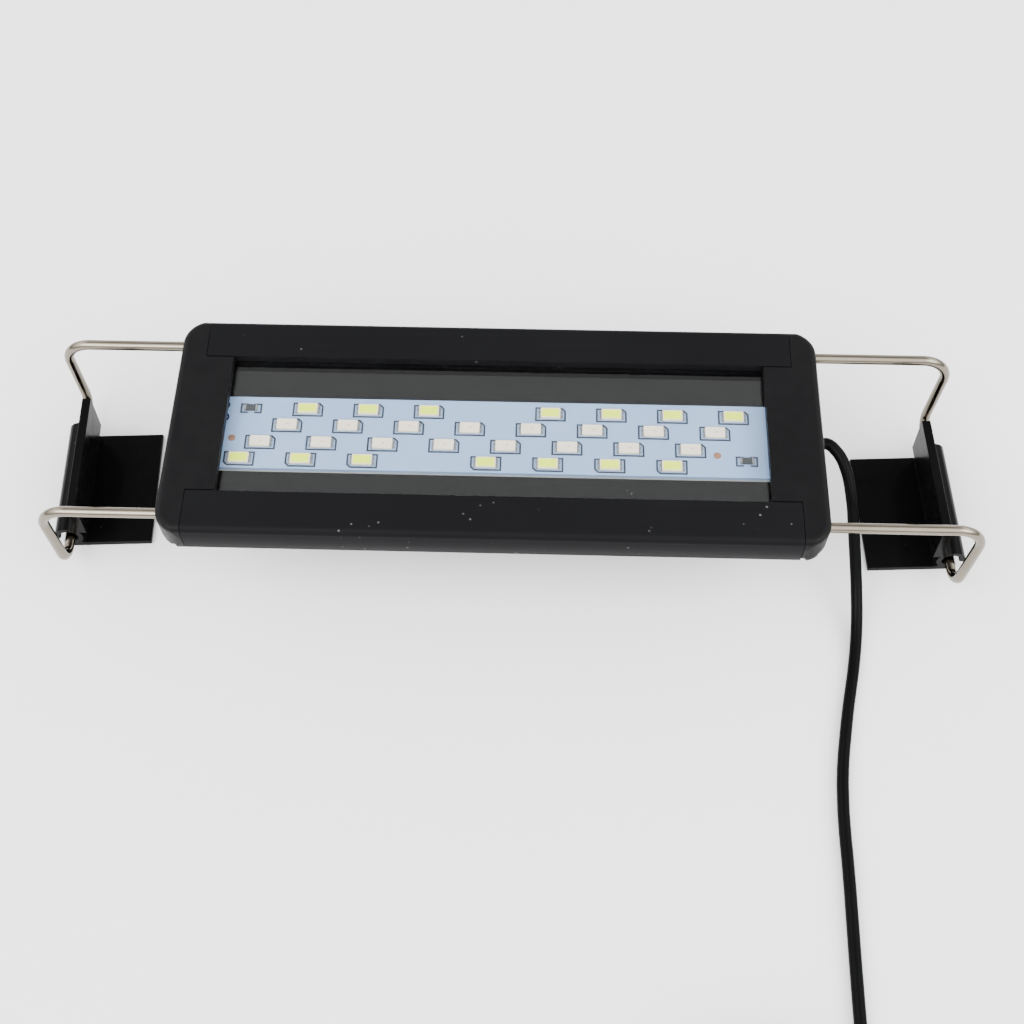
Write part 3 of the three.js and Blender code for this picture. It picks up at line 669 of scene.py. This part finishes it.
# ---------- wire brackets ----------
def bent_wire_points(corners, radii, steps):
    """The corners of a wire, each inner one rounded with its radius."""
    points = [corners[0]]
    for before, corner, after, radius in zip(corners, corners[1:], corners[2:], radii):
        into = (corner - before).normalized()
        out = (after - corner).normalized()
        turn = into.angle(out)
        start = corner - into * radius * math.tan(turn / 2)
        inward = (out - into * out.dot(into)).normalized()
        for k in range(steps + 1):
            angle = turn * k / steps
            points.append(start + radius * (into * math.sin(angle) + inward * (1 - math.cos(angle))))
    points.append(corners[-1])
    return points


def poly_wire(name, points, radius):
    curve = bpy.data.curves.new(name, "CURVE")
    curve.dimensions = "3D"
    curve.bevel_depth = radius
    curve.bevel_resolution = 8
    curve.use_fill_caps = True
    spline = curve.splines.new("POLY")
    spline.points.add(len(points) - 1)
    for target, point in zip(spline.points, points):
        target.co = (*point, 1)
    spline.use_smooth = True
    return object_from(name, curve)


def bracket(name, side, lean):
    prong_z = LIGHT_TOP_Z - WIRE_DEPTH
    corners = []
    for y in (-WIRE_Y, WIRE_Y):
        bar_x = side * BAR_X - y * math.tan(BRACKET_SKEW)
        ends = [
            Vector((bar_x + lean - side * PRONG_LENGTH, y, prong_z)),
            Vector((bar_x + lean, y, prong_z)),
            Vector((bar_x, y - lean, BAR_Z)),
        ]
        corners += ends if y < 0 else ends[::-1]
    radii = (PRONG_BEND_RADIUS, BAR_BEND_RADIUS, BAR_BEND_RADIUS, PRONG_BEND_RADIUS)
    wire = poly_wire(f"bent_wire_{name}", bent_wire_points(corners, radii, 12), WIRE_RADIUS)
    dress(wire, MATERIALS["wire"], f"bracket_{name}")
    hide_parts(f"bracket_wire_{name}")


for bracket_name, (bracket_side, bracket_lean) in BRACKETS.items():
    bracket(bracket_name, bracket_side, bracket_lean)

# ---------- carried-over nodes ----------
SLOT_OF = {part["node"]: part["material_slot"] for part in frame["record"]["subparts"]}
for name, node in nodes.items():
    slot = SLOT_OF[name]
    if slot in MATERIALS:
        node.data.materials.clear()
        node.data.materials.append(MATERIALS[slot])

SOFTENED = {
    0.12 * MM: ["housing_extrusion"],
    0.2 * MM: ["end_cap_left", "end_cap_right"],
    0.05 * MM: ["clip_left", "clip_right"],
    0.1 * MM: ["cover_lens", "led_board", "cord_bush"],
}
for width, names in SOFTENED.items():
    for name in names:
        soften(nodes[name], width)


# ---------- end-cap screws ----------
def cross_recess(obj):
    """Cuts a cross into a screw's head, whose outer face is at the object's origin."""
    bm = bmesh.new()
    for half_y, half_z in ((1.0, 0.22), (0.22, 1.0)):
        add_block(bm, Vector((-0.55, -half_y, -half_z)) * MM, Vector((0.5, half_y, half_z)) * MM, 0.05 * MM)
    cutter = object_from("recess_cutter", mesh_from("recess_cutter", bm))
    modifier = obj.modifiers.new("recess", "BOOLEAN")
    modifier.operation = "DIFFERENCE"
    modifier.use_self = True
    modifier.object = cutter
    bpy.context.view_layer.update()
    cut = bpy.data.meshes.new_from_object(obj.evaluated_get(bpy.context.evaluated_depsgraph_get()))
    obj.modifiers.clear()
    obj.data = cut
    bpy.data.objects.remove(cutter)


def screw_mesh():
    """A pan-head screw along X with its thread behind it."""
    head, shaft, height, length = 1.6 * MM, 0.85 * MM, 1.2 * MM, 12 * MM
    profile = [(-length, 0), (-length, 0.35 * MM)]
    pitch = 0.5 * MM
    for turn in range(int((length - height) / pitch) - 1):
        start = -length + 0.5 * MM + turn * pitch
        profile += [(start, shaft - 0.18 * MM), (start + pitch / 2, shaft)]
    profile += [(-height, shaft), (-height, head), (-height * 0.55, head)]
    for i in range(1, 6):
        angle = math.pi / 2 * i / 6
        profile.append((-height * 0.55 * (1 - math.sin(angle)), head * (0.3 + 0.7 * math.cos(angle))))
    profile.append((0, 0))
    maker = object_from("screw_maker", turned("screw", profile, 32))
    cross_recess(maker)
    mesh = maker.data
    bpy.data.objects.remove(maker)
    mesh.materials.clear()
    mesh.materials.append(MATERIALS["screw"])
    smooth_by_angle(mesh)
    return mesh


SCREW = screw_mesh()
for name in [name for name in nodes if name.startswith("cap_screw_")]:
    low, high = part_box(name)
    on_right = high[0] > 0
    screw = object_from(name.replace("cap_screw", "cross_screw"), SCREW)
    screw.location = (high[0] if on_right else low[0], (low[1] + high[1]) / 2, (low[2] + high[2]) / 2)
    screw.rotation_euler.z = 0 if on_right else math.pi
    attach(screw, "light")
    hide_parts(name)

# ---------- LED board ----------
def led_mesh(name, window, has_die):
    """A package with a sunk window and two tinned ends."""
    half = LED_SIZE / 2
    bm = bmesh.new()
    body_low = Vector((-half.x + LED_END, -half.y, 0))
    body_high = Vector((half.x - LED_END, half.y, LED_SIZE.z))
    add_block(bm, body_low, body_high, 0.08 * MM)
    top = max(bm.faces, key=lambda face: face.calc_center_median().z * face.calc_area())
    bmesh.ops.inset_individual(bm, faces=[top], thickness=0.22 * MM)
    bmesh.ops.inset_individual(bm, faces=[top], thickness=0.06 * MM, depth=-0.07 * MM)
    top.material_index = 1
    for side in (-1, 1):
        low_x, high_x = sorted((side * (half.x - LED_END + 0.02 * MM), side * half.x))
        for y in (-0.7, 0.7):
            pad_low = Vector((low_x, y * MM - 0.5 * MM, 0))
            pad_high = Vector((high_x, y * MM + 0.5 * MM, LED_SIZE.z * 0.35))
            add_block(bm, pad_low, pad_high, 0.05 * MM, 2)
    if has_die:
        die_low = Vector((0.1, -0.12, 0.735)) * MM
        die_high = Vector((0.45, 0.12, 0.79)) * MM
        add_block(bm, die_low, die_high, 0.02 * MM, 3)
    mesh = mesh_from(name, bm)
    for material in (PACKAGE, window, TERMINAL, DIE):
        mesh.materials.append(material)
    smooth_by_angle(mesh)
    return mesh


LED_MESHES = {
    "white": led_mesh("led_white", PHOSPHOR, False),
    "blue": led_mesh("led_blue", CREAM_WINDOW, True),
}
BOARD_TOP_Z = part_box("led_board")[1][2]


def middle_of(name):
    low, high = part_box(name)
    return Vector(((low[0] + high[0]) / 2, (low[1] + high[1]) / 2, low[2]))


def add_line(bm, points, closed):
    """A flat printed line of even width on the board, mitred at its corners."""
    count = len(points)
    sections = []
    for i, point in enumerate(points):
        before = (point - points[i - 1]).normalized() if closed or i > 0 else None
        after = (points[(i + 1) % count] - point).normalized() if closed or i < count - 1 else None
        before = before or after
        after = after or before
        normals = [Vector((-way.y, way.x)) for way in (before, after)]
        mitre = (normals[0] + normals[1]) / (1 + normals[0].dot(normals[1])) * PRINT_LINE / 2
        top_z = BOARD_TOP_Z + PRINT_THICKNESS
        sections.append([bm.verts.new(place) for place in (
            (*(point + mitre), top_z),
            (*(point - mitre), top_z),
            (*(point - mitre), BOARD_TOP_Z),
            (*(point + mitre), BOARD_TOP_Z),
        )])
    join_sections(bm, sections, closed)


def led_outline(centre, chamfered):
    """Corners of the printed frame round one LED; chamfered is the sign of the cut corner."""
    half = Vector((PRINT_LENGTH, PRINT_WIDTH)) / 2
    corners = []
    for sign_x, sign_y in ((1, 1), (-1, 1), (-1, -1), (1, -1)):
        corner = Vector((sign_x * half.x, sign_y * half.y))
        if sign_x == sign_y == chamfered:
            inset = Vector((sign_x * PRINT_CHAMFER, 0)), Vector((0, sign_y * PRINT_CHAMFER))
            cut = [corner - inset[1], corner - inset[0]]
            corners += cut
        else:
            corners.append(corner)
    return [centre + corner for corner in corners]


def board_print():
    bm = bmesh.new()
    for name in nodes:
        if name.startswith("led_row"):
            chamfered = -1 if name.startswith("led_row4") else 1
            add_line(bm, led_outline(middle_of(name).xy, chamfered), closed=True)
        elif name.startswith("resistor"):
            for side in (-1, 1):
                bracket_points = ((0.75, 1.15), (2.35, 1.15), (2.35, -1.15), (0.75, -1.15))
                points = [middle_of(name).xy + Vector((side * x, y)) * MM for x, y in bracket_points]
                add_line(bm, points, closed=False)
    for x, y in PAD_RINGS:
        centre = Vector((LIGHT_X + x * MM, y * MM))
        arc = [centre + 0.95 * MM * Vector((math.cos(a), math.sin(a))) for a in half_circle(10)]
        add_line(bm, arc, closed=False)
    print_piece = object_from("board_print", mesh_from("board_print", bm))
    return dress(print_piece, PRINT, "light")


def half_circle(steps):
    return [math.pi * (i / steps - 0.5) for i in range(steps + 1)]


def resistor_mesh():
    """A chip resistor: a dark glazed body between two tinned ends."""
    half_x, half_y, height = 1.6 * MM, 0.8 * MM, 0.6 * MM
    end = 0.5 * MM
    bm = bmesh.new()
    body_low = Vector((-half_x + end, -half_y + 0.03 * MM, 0))
    add_block(bm, body_low, Vector((half_x - end, half_y - 0.03 * MM, height - 0.04 * MM)), 0.04 * MM)
    for side in (-1, 1):
        low_x, high_x = sorted((side * (half_x - end), side * half_x))
        add_block(bm, Vector((low_x, -half_y, 0)), Vector((high_x, half_y, height)), 0.08 * MM, 1)
    mesh = mesh_from("chip_resistor", bm)
    for material in (MATERIALS["resistor"], TERMINAL):
        mesh.materials.append(material)
    smooth_by_angle(mesh)
    return mesh


def place_copy(name, mesh, replaced):
    copy = object_from(name, mesh)
    copy.location = middle_of(replaced)
    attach(copy, "light")
    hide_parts(replaced)


RESISTOR = resistor_mesh()
for name in list(nodes):
    if name.startswith("led_row"):
        kind = "white" if name[7] in "14" else "blue"
        place_copy(name.replace("led_", "diode_"), LED_MESHES[kind], name)
    elif name.startswith("resistor"):
        place_copy(name.replace("resistor", "chip_resistor"), RESISTOR, name)
board_print()

for index, (x, y) in enumerate(COPPER_POINTS):
    dome = [(0, 0), (0, 0.9 * MM), (0.02 * MM, 0.85 * MM), (0.05 * MM, 0.45 * MM), (0.06 * MM, 0)]
    point = object_from(f"test_point_{index + 1}", turned(f"test_point_{index + 1}", dome, 24))
    point.location = (LIGHT_X + x * MM, y * MM, BOARD_TOP_Z)
    point.rotation_euler.y = -math.pi / 2
    dress(point, COPPER, "light")

# ---------- studio ----------
floor = object_from("studio_floor", bpy.data.meshes.new("studio_floor"))
FLOOR_SIZE = 4
floor_bm = bmesh.new()
bmesh.ops.create_grid(floor_bm, x_segments=1, y_segments=1, size=FLOOR_SIZE)
floor_bm.to_mesh(floor.data)
floor_bm.free()
floor.location.z = -0.1 * MM
floor.data.materials.append(plain("studio_paper", (0.89, 0.89, 0.89), (0.91, 0.91, 0.91), 0.8, scale=30))

SKY = 4.2
HORIZON = 0.6
MIRRORED_SKY = 0.9
MIRROR_WAY = Vector((0, 0.5, 0.866))


def studio_world():
    """Bright overhead, dimmer near the horizon and in the part of the sky that the cover mirrors."""
    world = bpy.data.worlds.new("studio")
    world.use_nodes = True
    n = Tree(world.node_tree, "Generated")
    towards = n.tree.nodes.new("ShaderNodeVectorMath")
    towards.operation = "DOT_PRODUCT"
    n.join(n.place, towards.inputs[0])
    towards.inputs[1].default_value = MIRROR_WAY
    mirrored = n.band(towards.outputs["Value"], 0.78, 0.92)
    sky = n.band(n.axis("Z"), 0.1, 0.6, HORIZON, SKY)
    drop = n.times(mirrored, n.math("SUBTRACT", sky, MIRRORED_SKY))
    background = n.tree.nodes["Background"]
    background.inputs["Color"].default_value = (1, 1, 1, 1)
    n.join(n.math("SUBTRACT", sky, drop), background.inputs["Strength"])
    scene.world = world


def softbox(name, place, size, power):
    """A soft lamp aimed at the origin."""
    data = bpy.data.lights.new(name, "AREA")
    data.shape = "RECTANGLE"
    data.size, data.size_y = size
    data.energy = power
    lamp = object_from(name, data)
    lamp.location = place
    lamp.rotation_mode = "QUATERNION"
    lamp.rotation_quaternion = (-Vector(place)).to_track_quat("-Z", "Y")


studio_world()
softbox("key_softbox", (-0.5, -0.45, 0.75), (0.6, 0.5), 6)
softbox("fill_softbox", (0.65, -0.3, 0.6), (0.5, 0.5), 4)
